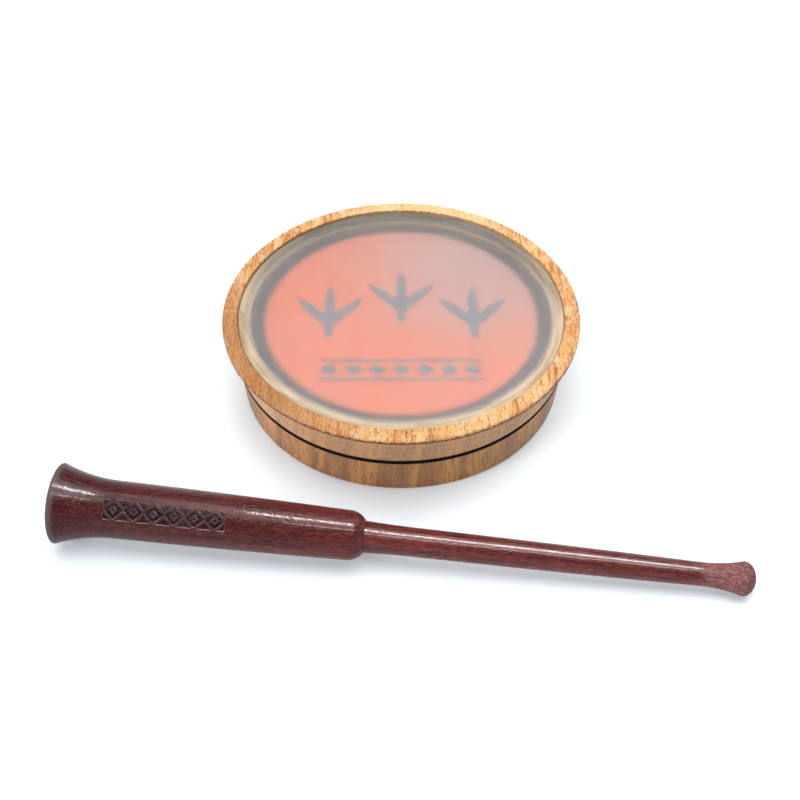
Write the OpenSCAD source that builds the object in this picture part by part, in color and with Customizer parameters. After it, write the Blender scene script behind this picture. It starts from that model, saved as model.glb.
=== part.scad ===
// Friction bird call: a turned wooden pot under a frosted glass disc, and its striker.
// Millimetres, +Z up. The origin is the middle of the pot's base, on the surface it stands on.
// The striker lies in front of the pot, towards -Y.

/* [Pot] */
// Diameter over the lip
pot_d = 96; // [84:0.5:115]
// Height from the base to the rim
pot_h = 22.8; // [21:0.1:32]
// Width of the flat rim, from the lip to the rabbet
rim_w = 4.15; // [3.6:0.05:6]
// How far the lip stands out over the wall
lip_overhang = 2.85; // [1.5:0.05:3.4]
// Height of the lip's upright edge
lip_edge = 0.6; // [0.3:0.05:1.5]
// Rounding of the lip's upper edge
lip_round = 0.7; // [0.3:0.05:1]
// Radius of the cove under the lip
cove_r = 5.5; // [4:0.1:7]
// How far the wall draws in from the cove to the foot
wall_taper = 1.45; // [0:0.05:2]
// Rounding where the wall meets the base
foot_round = 0.8; // [0.3:0.1:1.5]
// Thickness of the chamber's floor
floor_t = 4.5; // [3:0.1:6]

/* [Burnt groove] */
// Height of the groove's middle above the base
groove_z = 11.4; // [7:0.1:13]
// Width of the groove
groove_w = 1.25; // [0.8:0.05:2]
// Depth of the groove
groove_depth = 0.95; // [0.5:0.05:1.2]

/* [Sound chamber] */
// Width of the ledge that the glass rests on
ledge_w = 2.8; // [2:0.1:4]
// Rounding between the chamber's wall and its floor
chamber_round = 3.5; // [1:0.1:4]
// Diameter of the pedestal
pedestal_d = 34; // [24:0.5:38]
// Rounding at the pedestal's foot
pedestal_round = 1.8; // [0.5:0.1:2.5]
// Diameter of the glue well in the pedestal's top
well_d = 20; // [10:0.5:22]
// Depth of the glue well
well_depth = 1.2; // [0.5:0.1:3]
// Diameter of each sound port
port_d = 9.5; // [5:0.1:10]
// Number of sound ports
port_n = 8; // [5:1:9]

/* [Discs] */
// Depth of the glass below the rim
glass_recess = 0.45; // [0.2:0.05:1]
// Thickness of the frosted glass
glass_t = 2.3; // [2:0.1:4]
// Bevel of the glass discs' edges
glass_bevel = 0.3; // [0.1:0.05:0.5]
// Thickness of the adhesive ring and of the adhesive pad
adhesive_t = 0.25; // [0.1:0.05:0.4]
// How far the adhesive stays back from the edges that it joins
adhesive_inset = 0.35; // [0.1:0.05:0.8]
// Air gap between the glass and the label
air_gap = 0.8; // [0.5:0.1:2.5]
// Gap all round between the sound board and the chamber's wall
board_gap = 1.8; // [1:0.1:3]
// Thickness of the sound board
board_t = 2.4; // [1.6:0.1:3]
// Thickness of the printed label
label_t = 0.15; // [0.1:0.05:0.3]
// How far the label's edge stays inside the sound board's
label_margin = 0.4; // [0.2:0.1:1]

/* [Striker handle] */
// Length from the butt's edge to the shoulder's end
handle_l = 75; // [60:1:100]
// Diameter of the butt's edge
butt_d = 19.8; // [16:0.1:24]
// Height of the butt's domed end
butt_crown = 1.7; // [0.5:0.1:4]
// Length of the flare behind the butt
flare_l = 14.2; // [8:0.1:20]
// Diameter of the grip at the flare's end
grip_d = 14.2; // [11:0.1:15.5]
// Swell of the grip between its ends
grip_swell = 0.14; // [0:0.02:0.5]
// Diameter at the shoulder
shoulder_d = 12.1; // [10.5:0.1:14]
// Radius of the shoulder's rounding
shoulder_round = 4.7; // [3.5:0.1:5.5]

/* [Striker peg] */
// Length of the peg outside the handle, to its tip's edge
peg_l = 90.6; // [60:1:120]
// Diameter where the peg leaves the handle
peg_root_d = 7.8; // [6.8:0.1:8.4]
// Diameter of the shaft past its root
peg_d = 7.1; // [6:0.1:7.4]
// Diameter of the shaft's thin end, behind the tip
peg_neck_d = 5.7; // [4.5:0.1:6]
// Length of the sweep from the root to the shaft
root_sweep_l = 13; // [5:0.5:25]
// Diameter of the tip's edge
tip_d = 8.3; // [6:0.1:10]
// Length of the flare behind the tip
tip_flare_l = 9.5; // [5:0.1:14]
// Height of the tip's domed end
tip_crown = 2.9; // [0.5:0.1:4]
// Diameter of the tenon in the handle
tenon_d = 5.6; // [4.5:0.1:6]
// Length of the tenon
tenon_l = 24; // [15:0.5:40]

/* [Striker lying beside the pot] */
// Clear space between the lip and the middle of the striker's axis
striker_space = 17.5; // [13:0.5:40]
// How far the striker is turned from the X axis, in degrees
striker_turn = -6.4; // [-12:0.1:0]
// Share of the striker's length, from the butt, that lies in front of the pot's middle
striker_shift_share = 0.462; // [0.35:0.01:0.6]

/* [Fits] */
// Clearance all round the glass in its rabbet
glass_fit = 0.2; // [0.1:0.05:0.4]
// Clearance all round the tenon in its bore, and at its end
tenon_fit = 0.05; // [0.03:0.01:0.1]

/* [Hidden] */
$fn = 96;
overrun = 1;
arc_steps = 8;
curve_steps = 14;

// Radii of the pot, from the lip inwards
lip_r = pot_d / 2;
wall_r = lip_r - lip_overhang;
foot_r = wall_r - wall_taper;
rabbet_r = lip_r - rim_w;
chamber_r = rabbet_r - ledge_w;
pedestal_r = pedestal_d / 2;
port_circle_r = (pedestal_r + chamber_r) / 2;

// Heights in the pot, from the rim downwards
glass_top = pot_h - glass_recess;
glass_bottom = glass_top - glass_t;
ledge_z = glass_bottom - adhesive_t;
label_top = glass_bottom - air_gap;
board_top = label_top - label_t;
board_bottom = board_top - board_t;
pedestal_top = board_bottom - adhesive_t;

// The cove is an arc that leaves the wall upright and ends at the lip's lower edge
lip_bottom = pot_h - lip_round - lip_edge;
cove_centre_r = wall_r + cove_r;
cove_sweep = acos((cove_r - lip_overhang) / cove_r);
cove_bottom = lip_bottom - cove_r * sin(cove_sweep);

// Radii of the discs
glass_r = rabbet_r - glass_fit;
board_r = chamber_r - board_gap;
label_r = board_r - label_margin;

// Radii of the striker
butt_r = butt_d / 2;
grip_r = grip_d / 2;
shoulder_r = shoulder_d / 2;
peg_root_r = peg_root_d / 2;
peg_r = peg_d / 2;
peg_neck_r = peg_neck_d / 2;
tip_r = tip_d / 2;
shaft_l = peg_l - tip_flare_l;
tenon_r = tenon_d / 2;
bore_r = tenon_r + tenon_fit;

// The shoulder's arc runs down to the peg's root
shoulder_sweep = acos((shoulder_round - (shoulder_r - peg_root_r)) / shoulder_round);
shoulder_start = handle_l - shoulder_round * sin(shoulder_sweep);

// The striker lies on its two widest edges, so its axis falls from the butt to the tip
striker_l = handle_l + peg_l;
striker_fall = atan((butt_r - tip_r) / striker_l);
butt_z = butt_r * cos(striker_fall);
striker_y = lip_r + striker_space;

// Points of an arc about (cr, cz), from angle a0 to a1
function arc(cr, cz, r, a0, a1, n = arc_steps) =
    [for (i = [0:n]) let (a = a0 + (a1 - a0) * i / n) [cr + r * cos(a), cz + r * sin(a)]];

// Radius of the wall at height z, below the cove
function wall_at(z) = foot_r + wall_taper * z / cove_bottom;

// Half outline of the pot, from the middle of the base round the outside to the pedestal's top
function pot_outline() = concat(
    [[0, 0]],
    arc(foot_r - foot_round, foot_round, foot_round, -90, 0),
    groove_points(),
    arc(cove_centre_r, cove_bottom, cove_r, 180, 180 - cove_sweep),
    arc(lip_r - lip_round, pot_h - lip_round, lip_round, 0, 90),
    [[rabbet_r, pot_h], [rabbet_r, ledge_z], [chamber_r, ledge_z]],
    arc(chamber_r - chamber_round, floor_t + chamber_round, chamber_round, 0, -90),
    arc(pedestal_r + pedestal_round, floor_t + pedestal_round, pedestal_round, 270, 180),
    [[pedestal_r, pedestal_top], [well_d / 2, pedestal_top],
        [well_d / 2, pedestal_top - well_depth], [0, pedestal_top - well_depth]]);

// The groove is half an ellipse, as a hot wire leaves it
function groove_points() = [for (i = [0:arc_steps])
    let (a = -90 + 180 * i / arc_steps, z = groove_z + groove_w / 2 * sin(a))
    [wall_at(z) - groove_depth * cos(a), z]];

module pot() {
    color([0.80, 0.60, 0.40])
    difference() {
        rotate_extrude() polygon(pot_outline());
        for (i = [0:port_n - 1])
            rotate([0, 0, 360 * (i + 1 / 2) / port_n])
            translate([port_circle_r, 0, -overrun])
            cylinder(d = port_d, h = floor_t + 2 * overrun);
    }
}

// A glass disc with its edges bevelled
module glass_disc(r, t) {
    rotate_extrude() polygon([[0, 0], [r - glass_bevel, 0], [r, glass_bevel],
        [r, t - glass_bevel], [r - glass_bevel, t], [0, t]]);
}

module surface_adhesive() {
    color([0.85, 0.80, 0.70])
    translate([0, 0, ledge_z])
    difference() {
        cylinder(r = glass_r - adhesive_inset, h = adhesive_t);
        translate([0, 0, -overrun])
        cylinder(r = chamber_r + adhesive_inset, h = adhesive_t + 2 * overrun);
    }
}

module playing_surface() {
    color([0.88, 0.90, 0.90, 0.6])
    translate([0, 0, glass_bottom]) glass_disc(glass_r, glass_t);
}

module pedestal_adhesive() {
    color([0.85, 0.80, 0.70])
    translate([0, 0, pedestal_top])
    difference() {
        cylinder(r = pedestal_r - adhesive_inset, h = adhesive_t);
        translate([0, 0, -overrun])
        cylinder(d = well_d, h = adhesive_t + 2 * overrun);
    }
}

module sound_board() {
    color([0.75, 0.85, 0.82, 0.6])
    translate([0, 0, board_bottom]) glass_disc(board_r, board_t);
}

module sound_board_label() {
    color([0.90, 0.40, 0.30])
    translate([0, 0, board_top]) cylinder(r = label_r, h = label_t);
}

// Places a shape turned about Z so that it lies as the striker does, with its butt's edge at 0
module laid_down() {
    rotate([0, 0, striker_turn])
    translate([-striker_l * striker_shift_share, -striker_y, butt_z])
    rotate([0, 90 + striker_fall, 0])
    children();
}

// Radius of the grip a share u of the way from the flare's end to the shoulder
function grip_at(u) = grip_r + (shoulder_r - grip_r) * u + grip_swell * sin(180 * u);

// Extra radius of the butt's flare at a distance z from the butt's edge
function flare_at(z) = (butt_r - grip_r) * pow(1 - z / flare_l, 2);

// Half outline of the handle, from the middle of the domed butt to the shoulder
function handle_outline() = concat(
    [for (i = [0:arc_steps]) let (a = 90 * i / arc_steps)
        [butt_r * sin(a), -butt_crown * cos(a)]],
    [for (i = [1:curve_steps]) let (z = flare_l * i / curve_steps) [grip_r + flare_at(z), z]],
    [for (i = [1:curve_steps - 1]) let (u = i / curve_steps)
        [grip_at(u), flare_l + (shoulder_start - flare_l) * u]],
    arc(shoulder_r - shoulder_round, shoulder_start, shoulder_round, 0, shoulder_sweep),
    [[0, handle_l]]);

module striker_handle() {
    color([0.36, 0.17, 0.15])
    laid_down()
    difference() {
        rotate_extrude() polygon(handle_outline());
        translate([0, 0, handle_l - tenon_l - tenon_fit])
        cylinder(r = bore_r, h = tenon_l + tenon_fit + overrun);
    }
}

// Radius of the peg a distance z from the handle: a root that sweeps into a slowly thinning shaft
function peg_at(z) = peg_r - (peg_r - peg_neck_r) * pow(z / shaft_l, 2)
    + (peg_root_r - peg_r) * pow(max(0, 1 - z / root_sweep_l), 2);

// Radius of the tip's flare a share u of the way along it
function tip_at(u) = peg_neck_r + (tip_r - peg_neck_r) * pow(u, 2);

// Half outline of the peg, from the tenon's end to the middle of the domed tip
function peg_outline() = concat(
    [[0, -tenon_l], [tenon_r, -tenon_l], [tenon_r, 0]],
    [for (i = [0:arc_steps]) let (z = root_sweep_l * i / arc_steps) [peg_at(z), z]],
    [for (i = [1:curve_steps]) let (z = root_sweep_l + (shaft_l - root_sweep_l) * i / curve_steps)
        [peg_at(z), z]],
    [for (i = [1:curve_steps]) let (u = i / curve_steps)
        [tip_at(u), shaft_l + tip_flare_l * u]],
    [for (i = [1:arc_steps]) let (a = 90 * i / arc_steps)
        [tip_r * cos(a), peg_l + tip_crown * sin(a)]]);

module striker_peg() {
    color([0.44, 0.22, 0.19])
    laid_down()
    translate([0, 0, handle_l])
    rotate_extrude() polygon(peg_outline());
}

pot();
surface_adhesive();
playing_surface();
pedestal_adhesive();
sound_board();
sound_board_label();
striker_handle();
striker_peg();
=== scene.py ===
"""Looks of a friction bird call: a turned wooden pot with a frosted glass surface, and its striker.

Lengths are written in millimetres and made metres by MM, but for the places and sizes of the lamps
and the camera's place, which are in metres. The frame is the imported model's own: +Z up, the origin
at the middle of the pot's base, and the striker in front, towards -Y.
"""

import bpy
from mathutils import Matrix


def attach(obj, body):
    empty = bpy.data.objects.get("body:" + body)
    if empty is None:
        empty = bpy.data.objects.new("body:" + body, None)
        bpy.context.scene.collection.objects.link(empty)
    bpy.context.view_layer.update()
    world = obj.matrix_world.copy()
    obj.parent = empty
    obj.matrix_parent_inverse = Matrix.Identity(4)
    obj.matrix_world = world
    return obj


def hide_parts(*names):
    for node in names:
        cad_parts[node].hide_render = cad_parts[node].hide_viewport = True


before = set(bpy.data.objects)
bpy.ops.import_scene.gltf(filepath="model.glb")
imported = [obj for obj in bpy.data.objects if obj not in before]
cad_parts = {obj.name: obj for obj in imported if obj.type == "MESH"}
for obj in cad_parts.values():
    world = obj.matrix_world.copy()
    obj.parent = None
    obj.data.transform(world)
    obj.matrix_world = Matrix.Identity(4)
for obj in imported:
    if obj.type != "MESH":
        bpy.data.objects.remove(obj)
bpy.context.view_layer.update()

import math

import bpy
from mathutils import Matrix, Vector

MM = 0.001

# Pot
POT_D = 96.0
POT_H = 22.8
RIM_W = 4.15
RIM_CORNER = 0.12  # the rim's broken inner corner
LIP_OVERHANG = 2.85
LIP_EDGE = 0.6
LIP_ROUND = 0.7
LIP_TEAR = 0.14  # how deep the lathe has torn the lip's lower edge
COVE_R = 5.5
WALL_TAPER = 1.45
FOOT_ROUND = 0.8
FLOOR_T = 4.5
GROOVE_Z = 11.4
GROOVE_W = 1.25
GROOVE_DEPTH = 0.95
LEDGE_W = 2.8
CHAMBER_ROUND = 3.5
PEDESTAL_D = 34.0
PEDESTAL_ROUND = 1.8
WELL_D = 20.0
WELL_DEPTH = 1.2
PORT_D = 9.5
PORT_N = 8

# Discs
GLASS_RECESS = 0.45
GLASS_T = 2.3
GLASS_BEVEL = 0.3
ADHESIVE_T = 0.25
ADHESIVE_INSET = 0.35
AIR_GAP = 0.8
BOARD_GAP = 1.8
BOARD_T = 2.4
LABEL_T = 0.15
GLASS_FIT = 0.2

# Striker
HANDLE_L = 75.0
BUTT_D = 19.8
BUTT_CROWN = 1.7
FLARE_L = 14.2
GRIP_D = 14.2
GRIP_SWELL = 0.14
SHOULDER_D = 12.1
SHOULDER_ROUND = 4.7
PEG_L = 90.6
PEG_ROOT_D = 7.8
PEG_D = 7.1
PEG_NECK_D = 5.7
ROOT_SWEEP_L = 13.0
TIP_D = 8.3
TIP_FLARE_L = 9.5
TIP_CROWN = 2.9
TENON_D = 5.6
TENON_L = 24.0
TENON_FIT = 0.05
STRIKER_SPACE = 17.5
STRIKER_TURN = -6.4
STRIKER_SHARE = 0.462

# Engraved border on the handle, in front of the butt's flare
BORDER_START = 12.6
BORDER_PITCH = 4.9
BORDER_COUNT = 6
BORDER_HALF_H = 2.45
BORDER_DEPTH = 0.32
BORDER_ANGLE = math.radians(-140)
BORDER_MARGIN = 1.0  # finely divided before and after it
BORDER_CROWDING = 0.62  # how far the turned columns are drawn together for it
UNCUT_R = 5.0  # nearer to the axis lies the wall of the bore, which isn't cut

# Lozenges of that border, in shares of a cell: 0 in its middle, 1 on its sides, 2 in its corners
RING_AT = 0.69
RING_HALF_W = 0.30
HEART_HALF_W = 0.24
DARTS_FROM = 1.24
CUT_EDGE = 0.07

# Ink on the label: bird tracks, and a bar of lozenges between two lines
INK_T = 0.02
INK_LIFT = 0.005
TRACK_COUNT = 3
TRACK_STEP = 19.5
TRACK_STAGGER = 3.0
TRACK_Y = 0.5
TOE_SPREAD = math.radians(42)
TOE_L = 15.5
TOE_SIDE = [(1.3, 1.0), (1.8, 3.6), (1.2, 6.2), (1.7, 8.6), (1.0, 11.2), (1.0, 12.4)]
SIDE_TOE = (1.0, 0.9)  # shares of the front toe's width and length
BACK_TOE = (0.8, 0.42)
BAR_Y = -20.5
BAR_HALF_L = 21.5
BAR_HALF_H = 4.0
BAR_LINE_W = 1.0
BAR_LOZENGES = 7
BAR_PITCH = 6.2
LOZENGE_HALF_L = 2.7
LOZENGE_HALF_H = 2.2

# Where the looks change over the pot: radii, and places (x, y) that they fade round
FIELD_R = 36.9  # the label's coloured field, inside its dark border
FIELD_SHEEN_SIDE = (25.0, 25.0)  # the field's painted sheen, palest there
RIM_SHADE_SIDE = (-42.0, -24.0)  # the rim's painted shade, darkest there
RIM_SHEEN_SIDE = (8.0, 48.0)  # the rim's painted sheen, palest there
EDGE_SHADE_SIDE = (-30.0, 38.0)  # the inner edge's chipped stretch, darkened by painted shade

# Longest stretches of the outlines, and columns round the turned pieces
BASE_STEP = 8.0
SIDE_STEP = 0.45
CHAMBER_STEP = 3.0
DISC_STEP = 4.0
BEAD_STEP = 0.8
BORDER_STEP = 0.11
BORE_STEP = 4.0
POT_COLUMNS = 512
DISC_COLUMNS = 256
HANDLE_COLUMNS = 168
PEG_COLUMNS = 96
DRILL_SIDES = 48
SHARP_CORNER = math.radians(40)
MERGE_WITHIN = 1e-6  # in an outline's millimetres, and in a mesh's metres

# Radii and heights that follow from the sizes above, as in the CAD source
LIP_R = POT_D / 2
WALL_R = LIP_R - LIP_OVERHANG
FOOT_R = WALL_R - WALL_TAPER
RABBET_R = LIP_R - RIM_W
CHAMBER_R = RABBET_R - LEDGE_W
PEDESTAL_R = PEDESTAL_D / 2
PORT_CIRCLE_R = (PEDESTAL_R + CHAMBER_R) / 2
GLASS_TOP = POT_H - GLASS_RECESS
GLASS_BOTTOM = GLASS_TOP - GLASS_T
LEDGE_Z = GLASS_BOTTOM - ADHESIVE_T
LABEL_TOP = GLASS_BOTTOM - AIR_GAP
PEDESTAL_TOP = LABEL_TOP - LABEL_T - BOARD_T - ADHESIVE_T
LIP_BOTTOM = POT_H - LIP_ROUND - LIP_EDGE
COVE_SWEEP = math.acos((COVE_R - LIP_OVERHANG) / COVE_R)
COVE_BOTTOM = LIP_BOTTOM - COVE_R * math.sin(COVE_SWEEP)
GLASS_R = RABBET_R - GLASS_FIT
SHAFT_L = PEG_L - TIP_FLARE_L
STRIKER_L = HANDLE_L + PEG_L
SHOULDER_SWEEP = math.acos(1 - (SHOULDER_D - PEG_ROOT_D) / 2 / SHOULDER_ROUND)
SHOULDER_START = HANDLE_L - SHOULDER_ROUND * math.sin(SHOULDER_SWEEP)
STRIKER_FALL = math.atan((BUTT_D - TIP_D) / 2 / STRIKER_L)


def laid_down():
    """Where the striker lies: its own Z runs along it from the butt's edge, in metres."""
    turn = Matrix.Rotation(math.radians(STRIKER_TURN), 4, "Z")
    butt_z = BUTT_D / 2 * math.cos(STRIKER_FALL)
    place = (-STRIKER_L * STRIKER_SHARE * MM, -(LIP_R + STRIKER_SPACE) * MM, butt_z * MM)
    fall = Matrix.Rotation(math.pi / 2 + STRIKER_FALL, 4, "Y")
    return turn @ Matrix.Translation(place) @ fall


# Outlines, as points (radius, height) in millimetres

def curve(point_at, steps, first=0):
    """The points that point_at gives for shares of the way, from 0 to 1."""
    return [point_at(i / steps) for i in range(first, steps + 1)]


def arc(centre_r, centre_z, radius, start, end, steps):
    """Points of an arc, with its angles in degrees."""
    def point_at(u):
        a = math.radians(start + (end - start) * u)
        return centre_r + radius * math.cos(a), centre_z + radius * math.sin(a)
    return curve(point_at, steps)


def stepped(points, step):
    """The same line with no stretch longer than step, and no point twice."""
    made = [points[0]]
    for point in points[1:]:
        last = made[-1]
        length = math.dist(last, point)
        if length < MERGE_WITHIN:
            continue
        parts = math.ceil(length / step)
        for i in range(1, parts + 1):
            u = i / parts
            made.append((last[0] + (point[0] - last[0]) * u, last[1] + (point[1] - last[1]) * u))
    return made


def wall_at(z):
    """Radius of the pot's wall at height z, below the cove."""
    return FOOT_R + WALL_TAPER * z / COVE_BOTTOM


def groove_at(u):
    """The burnt groove is half an ellipse."""
    a = math.radians(180 * u - 90)
    z = GROOVE_Z + GROOVE_W / 2 * math.sin(a)
    return wall_at(z) - GROOVE_DEPTH * math.cos(a), z


def pot_side():
    """From the foot, round the outside and over the rim, to the ledge that the glass lies on."""
    side = arc(FOOT_R - FOOT_ROUND, FOOT_ROUND, FOOT_ROUND, -90, 0, steps=8)
    side += curve(groove_at, steps=16)
    cove_end = 180 - math.degrees(COVE_SWEEP)
    side += arc(WALL_R + COVE_R, COVE_BOTTOM, COVE_R, 180, cove_end, steps=20)
    side += arc(LIP_R - LIP_ROUND, POT_H - LIP_ROUND, LIP_ROUND, 0, 90, steps=8)
    side += [(RABBET_R + RIM_CORNER, POT_H), (RABBET_R, POT_H - RIM_CORNER)]
    return side + [(RABBET_R, LEDGE_Z), (CHAMBER_R, LEDGE_Z)]


def pot_chamber():
    """From the ledge, down the chamber and up the pedestal, to the middle of its well."""
    bend = FLOOR_T + CHAMBER_ROUND
    chamber = arc(CHAMBER_R - CHAMBER_ROUND, bend, CHAMBER_ROUND, 0, -90, steps=10)
    bend = FLOOR_T + PEDESTAL_ROUND
    chamber += arc(PEDESTAL_R + PEDESTAL_ROUND, bend, PEDESTAL_ROUND, 270, 180, steps=8)
    chamber += [(PEDESTAL_R, PEDESTAL_TOP), (WELL_D / 2, PEDESTAL_TOP)]
    return chamber + [(WELL_D / 2, PEDESTAL_TOP - WELL_DEPTH), (0, PEDESTAL_TOP - WELL_DEPTH)]


def pot_outline():
    """From the middle of the base, round the outside and over the rim, to the pedestal's well."""
    base = stepped([(0, 0), (FOOT_R - FOOT_ROUND, 0)], BASE_STEP)
    side = stepped(pot_side(), SIDE_STEP)
    return base + side[1:] + stepped(pot_chamber(), CHAMBER_STEP)


def disc_outline(radius, bottom, thickness, bevel):
    """A disc with ground edges."""
    top = bottom + thickness
    edge = arc(radius - bevel, bottom + bevel, bevel, -90, 0, steps=4)
    edge += arc(radius - bevel, top - bevel, bevel, 0, 90, steps=4)
    return stepped([(0, bottom)] + edge + [(0, top)], DISC_STEP)


def ring_outline(inner, outer, bottom, thickness):
    """A bead of adhesive pressed flat, with round edges, as a closed loop."""
    half = thickness / 2
    loop = arc(outer - half, bottom + half, half, -90, 90, steps=6)
    loop += arc(inner + half, bottom + half, half, 90, 270, steps=6)
    return stepped(loop + [loop[0]], BEAD_STEP)


def butt_dome_at(u):
    """From the middle of the domed butt to its edge."""
    a = math.radians(90 * u)
    return BUTT_D / 2 * math.sin(a), -BUTT_CROWN * math.cos(a)


def flare_at(u):
    """From the butt's edge down to the grip."""
    return GRIP_D / 2 + (BUTT_D - GRIP_D) / 2 * (1 - u) ** 2, FLARE_L * u


def grip_at(u):
    """From the flare's end to the shoulder, a little swollen between."""
    radius = GRIP_D / 2 + (SHOULDER_D - GRIP_D) / 2 * u + GRIP_SWELL * math.sin(math.pi * u)
    return radius, FLARE_L + (SHOULDER_START - FLARE_L) * u


def handle_outline():
    """From the middle of the domed butt to the shoulder, and down the bore for the tenon."""
    outside = curve(butt_dome_at, steps=16) + curve(flare_at, steps=28, first=1)
    outside += curve(grip_at, steps=60, first=1)[:-1]
    centre = SHOULDER_D / 2 - SHOULDER_ROUND
    sweep = math.degrees(SHOULDER_SWEEP)
    outside += arc(centre, SHOULDER_START, SHOULDER_ROUND, 0, sweep, steps=16)
    bore_r = TENON_D / 2 + TENON_FIT
    bore_end = HANDLE_L - TENON_L - TENON_FIT
    bore = [(bore_r, HANDLE_L), (bore_r, bore_end), (0, bore_end)]
    fine_from = BORDER_START - BORDER_MARGIN
    fine_to = BORDER_START + BORDER_PITCH * BORDER_COUNT + BORDER_MARGIN
    near = [point for point in outside if point[1] < fine_from]
    border = [point for point in outside if fine_from <= point[1] <= fine_to]
    far = [point for point in outside if point[1] > fine_to]
    fine = stepped([near[-1]] + border, BORDER_STEP)[1:]
    return near + fine + far + stepped([far[-1]] + bore, BORE_STEP)[1:]


def shaft_at(u):
    """The peg from the handle on: a root that sweeps into a slowly thinning shaft."""
    z = SHAFT_L * u
    sweep = (PEG_ROOT_D - PEG_D) / 2 * max(0, 1 - z / ROOT_SWEEP_L) ** 2
    return PEG_D / 2 - (PEG_D - PEG_NECK_D) / 2 * u ** 2 + sweep, z


def tip_flare_at(u):
    """From the peg's neck to its tip's edge."""
    return PEG_NECK_D / 2 + (TIP_D - PEG_NECK_D) / 2 * u * u, SHAFT_L + TIP_FLARE_L * u


def tip_dome_at(u):
    """From the tip's edge to the middle of its dome."""
    a = math.radians(90 * u)
    return TIP_D / 2 * math.cos(a), PEG_L + TIP_CROWN * math.sin(a)


def peg_outline():
    """From the tenon's end to the middle of the domed tip. Its parts' heights start at the handle's end."""
    tenon = [(0, -TENON_L), (TENON_D / 2, -TENON_L), (TENON_D / 2, 0)]
    shaft = curve(shaft_at, steps=120)
    tip = curve(tip_flare_at, steps=28, first=1) + curve(tip_dome_at, steps=20, first=1)
    return [(radius, z + HANDLE_L) for radius, z in tenon + shaft + tip]


# Nodes, for materials and geometry alike

class Field:
    """An output of a node. Reckoning with it adds Math nodes to its tree."""

    def __init__(self, tree, socket):
        self.tree = tree
        self.socket = socket

    def __add__(self, other):
        return calc("ADD", self, other)

    def __sub__(self, other):
        return calc("SUBTRACT", self, other)

    def __rsub__(self, other):
        return calc("SUBTRACT", other, self)

    def __mul__(self, other):
        return calc("MULTIPLY", self, other)

    def __truediv__(self, other):
        return calc("DIVIDE", self, other)

    def __abs__(self):
        return calc("ABSOLUTE", self)


def add(kind, fill, output=0, tree=None, **settings):
    """Adds a node with these settings, fills its inputs with values and fields, and gives an output.

    Where none of them is a field, the tree has to be given.
    """
    if tree is None:
        tree = next(value.tree for value in fill.values() if isinstance(value, Field))
    node = tree.nodes.new(kind)
    for name, value in settings.items():
        setattr(node, name, value)
    for key, value in fill.items():
        if isinstance(value, Field):
            tree.links.new(value.socket, node.inputs[key])
        else:
            node.inputs[key].default_value = value
    return Field(tree, node.outputs[output])


def lead_to(node, result):
    """Gives a tree's result to its last node."""
    result.tree.links.new(result.socket, node.inputs[0])


def calc(operation, *values, clamp=False):
    """A Math node's result."""
    return add("ShaderNodeMath", dict(enumerate(values)), operation=operation, use_clamp=clamp)


def vector_calc(operation, *values):
    """A Vector Math node's vector result."""
    return add("ShaderNodeVectorMath", dict(enumerate(values)), operation=operation)


def joined(x=0.0, y=0.0, z=0.0):
    """A vector from its three parts."""
    return add("ShaderNodeCombineXYZ", {0: x, 1: y, 2: z})


def part(vector, axis):
    """The X, Y or Z part of a vector."""
    return add("ShaderNodeSeparateXYZ", {0: vector}, axis)


def level(vector):
    """A vector without its height."""
    return vector_calc("MULTIPLY", vector, (1.0, 1.0, 0.0))


def outward(place):
    """The level direction from the Z axis to each point."""
    return vector_calc("NORMALIZE", level(place))


def distance_from(place, spot=(0.0, 0.0)):
    """Distance of each point from an upright axis through the spot."""
    offset = level(vector_calc("SUBTRACT", place, (*spot, 0.0)))
    return add("ShaderNodeVectorMath", {0: offset}, "Value", operation="LENGTH")


def fade(value, start, end, low=0.0, high=1.0):
    """Goes smoothly from low to high as value goes from start to end."""
    fill = {"Value": value, "From Min": start, "From Max": end, "To Min": low, "To Max": high}
    return add("ShaderNodeMapRange", fill, interpolation_type="SMOOTHSTEP")


def blend(factor, a, b, how="MIX"):
    """Mixes two colours."""
    return add("ShaderNodeMix", {0: factor, 6: a, 7: b}, 2, data_type="RGBA", blend_type=how)


def stained(under, colour, field, start, end, share=1.0):
    """Lays up to this share of a colour over another, as the field goes from start to end."""
    return blend(fade(field, start, end, 0.0, share), under, colour)


def noise(vector, stretch, detail=2.0, roughness=0.5, distortion=0.0):
    """Noise with this many features to the millimetre along each axis."""
    fill = {"Vector": vector_calc("MULTIPLY", vector, stretch), "Scale": 1.0, "Detail": detail}
    fill |= {"Roughness": roughness, "Distortion": distortion}
    return add("ShaderNodeTexNoise", fill, "Fac")


def ring_noise(place, around, outwards):
    """Noise in streaks round the upright axis: features to a radian, and to a millimetre of radius."""
    compass = vector_calc("MULTIPLY", outward(place), (around, around, 0.0))
    spot = vector_calc("ADD", compass, joined(z=distance_from(place) * outwards))
    return noise(spot, (1.0, 1.0, 1.0), 3.0, 0.6)


def bump(height, distance, strength=1.0):
    """A bump whose height of 1 stands for distance, in millimetres."""
    return add("ShaderNodeBump", {"Height": height, "Distance": distance * MM, "Strength": strength})


def srgb(red, green, blue):
    """A colour written as it shows, from 0 to 255, as the linear colour that shaders take."""
    made = []
    for value in (red, green, blue):
        share = value / 255
        made.append(share / 12.92 if share <= 0.04045 else ((share + 0.055) / 1.055) ** 2.4)
    return (*made, 1.0)


def new_material(name, build):
    """A node material, with the surface that build adds to its tree."""
    material = bpy.data.materials.new(name)
    material.use_nodes = True
    tree = material.node_tree
    tree.nodes.clear()
    output = tree.nodes.new("ShaderNodeOutputMaterial")
    lead_to(output, build(tree))
    return material


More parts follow.
